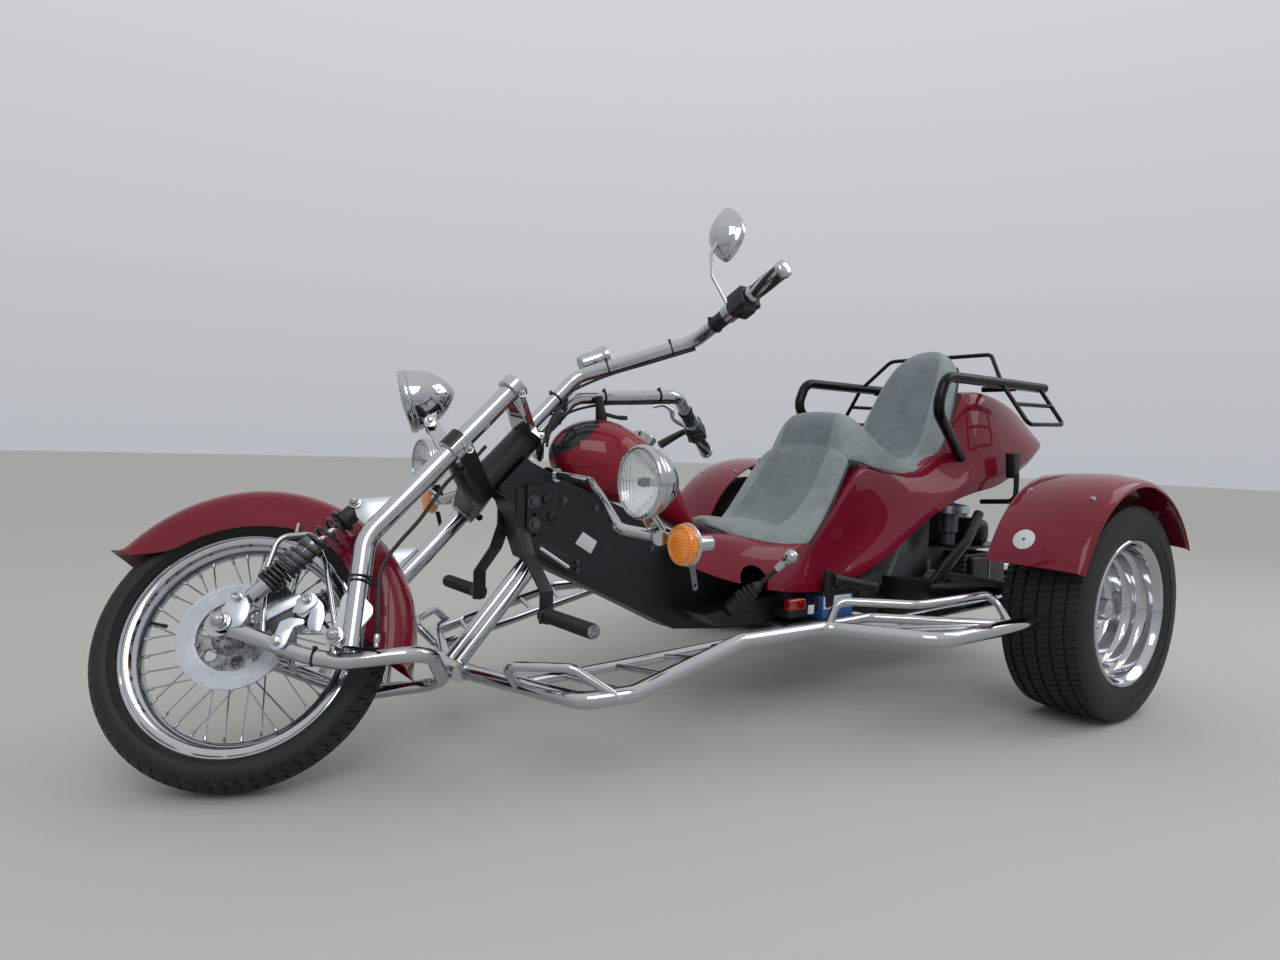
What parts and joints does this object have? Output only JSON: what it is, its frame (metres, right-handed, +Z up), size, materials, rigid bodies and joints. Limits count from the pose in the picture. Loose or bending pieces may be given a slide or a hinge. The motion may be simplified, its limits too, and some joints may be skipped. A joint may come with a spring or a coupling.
{
  "type": "motorized trike",
  "caption": "Two-seat motorized trike with a raked leading-link fork, wire front wheel, tube footboards, stepped grey seats and wide rear wheels under red fenders.",
  "frame": {"origin": "on the ground under the middle of the whole vehicle's box", "axes": "+X towards the front wheel, +Y to the rider's left, +Z up"},
  "size_m": [3.0407, 1.716, 1.3548],
  "materials": {
    "chrome_tube": "bright chrome",
    "red_paint": "gloss deep red paint",
    "black_paint": "satin black paint",
    "white_paint": "white painted steel",
    "black_plastic": "matt black plastic",
    "blue_plastic": "blue and white plastic case",
    "amber_plastic": "amber lens",
    "red_plastic": "red lens",
    "clear_glass": "clear fluted glass",
    "tyre_rubber": "black tyre rubber",
    "seat_vinyl": "grey grained vinyl",
    "spring_steel": "gloss black coil",
    "alloy": "machined alloy",
    "cast_block": "dark cast block"
  },
  "bodies": {
    "chassis": {"head_tube": "black_paint", "main_frame": "black_paint", "front_downtubes": "chrome_tube", "footboard_left": "chrome_tube", "footboard_right": "chrome_tube", "foot_pegs": "black_paint", "fuel_tank": "red_paint", "tank_cap": "chrome_tube", "body_shell": "red_paint", "driver_seat": "seat_vinyl", "passenger_seat": "seat_vinyl", "passenger_rails": "black_paint", "luggage_hoop": "black_paint", "rear_fender_left": "red_paint", "rear_fender_right": "red_paint", "fender_posts": "black_paint", "rear_axle": "black_paint", "trailing_arms": "black_paint", "belly_pan": "black_paint", "engine_block": "cast_block", "exhaust": "chrome_tube", "lamp_bars": "chrome_tube", "side_lamps": "chrome_tube", "side_lenses": "clear_glass", "indicator_barrels": "chrome_tube", "indicator_lenses": "amber_plastic", "tail_lamps": "red_plastic", "battery": "blue_plastic", "gear_lever": "black_plastic", "hand_brake": "black_plastic"},
    "fork": {"fork_leg_left": "chrome_tube", "fork_leg_right": "chrome_tube", "upper_clamp": "chrome_tube", "lower_clamp": "chrome_tube", "handlebar": "chrome_tube", "grips": "chrome_tube", "controls": "black_plastic", "mirror": "chrome_tube", "speedometer": "chrome_tube", "headlight": "chrome_tube", "headlight_lens": "clear_glass", "swing_arm": "chrome_tube", "shocks": "chrome_tube", "springs": "spring_steel", "front_fender": "red_paint", "brake_caliper": "alloy", "fender_stays": "chrome_tube"},
    "front_roller": {"front_tyre": "tyre_rubber", "front_wheel": "chrome_tube", "brake_disc": "white_paint"},
    "left_roller": {"rear_tyre_left": "tyre_rubber", "rear_rim_left": "chrome_tube"},
    "right_roller": {"rear_tyre_right": "tyre_rubber", "rear_rim_right": "chrome_tube"}
  },
  "joints": [
    {"name": "steering", "type": "hinge", "parent": "chassis", "child": "fork", "pos_m": [1.367, 0, 0], "axis": [-0.7103, 0, 0.7039], "range_deg": [0, 79]},
    {"name": "front_spin", "type": "hinge", "parent": "fork", "child": "front_roller", "pos_m": [1.23194, -0.08965, 0.28694], "axis": [0.4477, 0.7716, 0.4518], "continuous": true},
    {"name": "left_spin", "type": "hinge", "parent": "chassis", "child": "left_roller", "pos_m": [-0.935, 0.715, 0.3191], "axis": [0, 1, 0], "continuous": true},
    {"name": "right_spin", "type": "hinge", "parent": "chassis", "child": "right_roller", "pos_m": [-0.935, -0.715, 0.3191], "axis": [0, 1, 0], "continuous": true}
  ]
}
